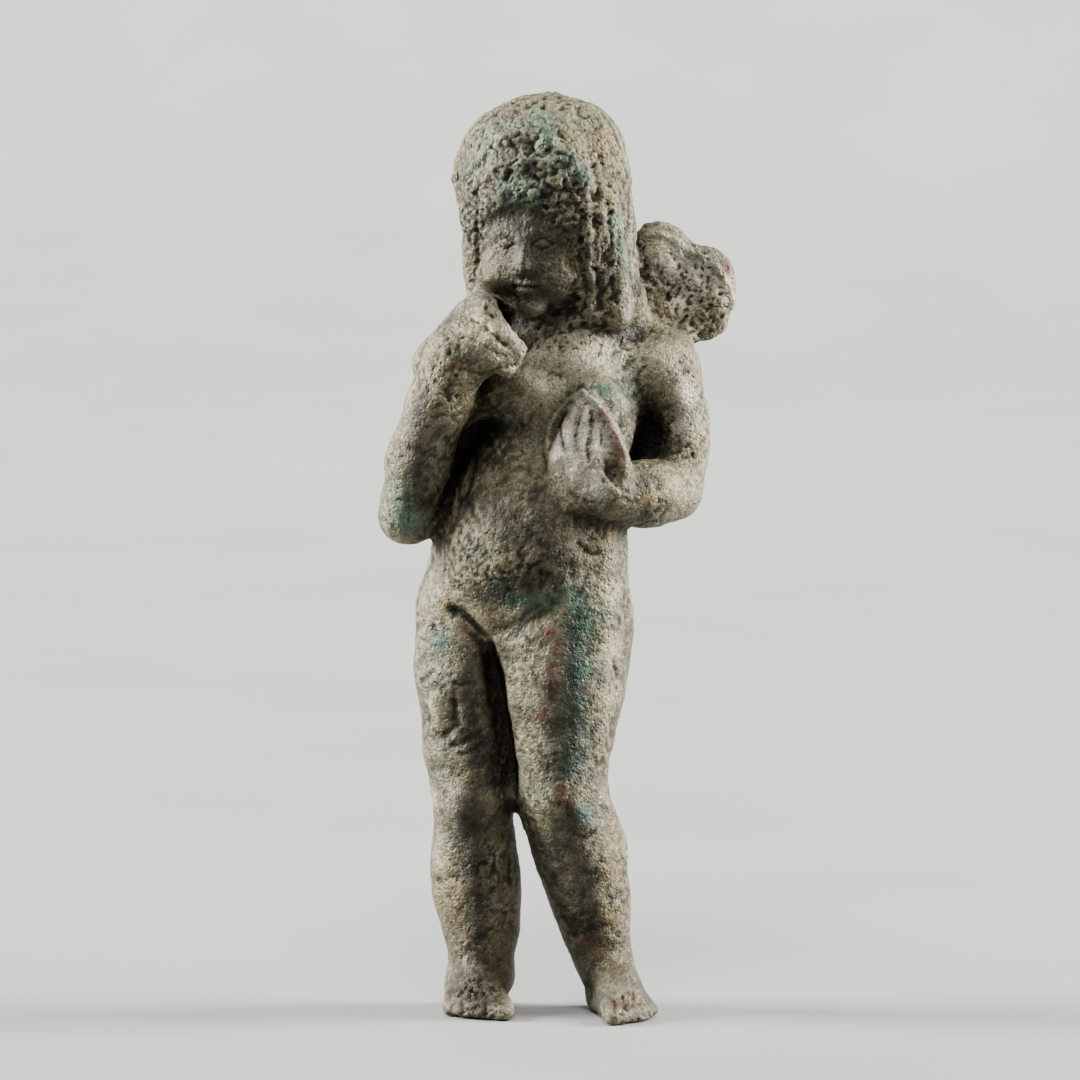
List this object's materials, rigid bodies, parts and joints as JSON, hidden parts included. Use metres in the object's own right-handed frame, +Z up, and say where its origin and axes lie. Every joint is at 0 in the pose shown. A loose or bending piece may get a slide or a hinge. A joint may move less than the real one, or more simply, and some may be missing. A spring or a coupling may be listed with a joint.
{
  "type": "winged child figurine",
  "caption": "Small cast bronze figurine of a standing winged child, one hand raised to the chin and the other held open at the breast; stands on its own feet.",
  "frame": {"origin": "middle of the bounding box's underside, in the plane of the soles", "axes": "+Z up along the standing figure, its front towards -Y, its left side towards +X"},
  "size_m": [0.0266, 0.014, 0.0681],
  "materials": {
    "corroded_bronze": "matt, pitted corrosion crust"
  },
  "bodies": {
    "root": {"figurine": "corroded_bronze"}
  },
  "joints": []
}
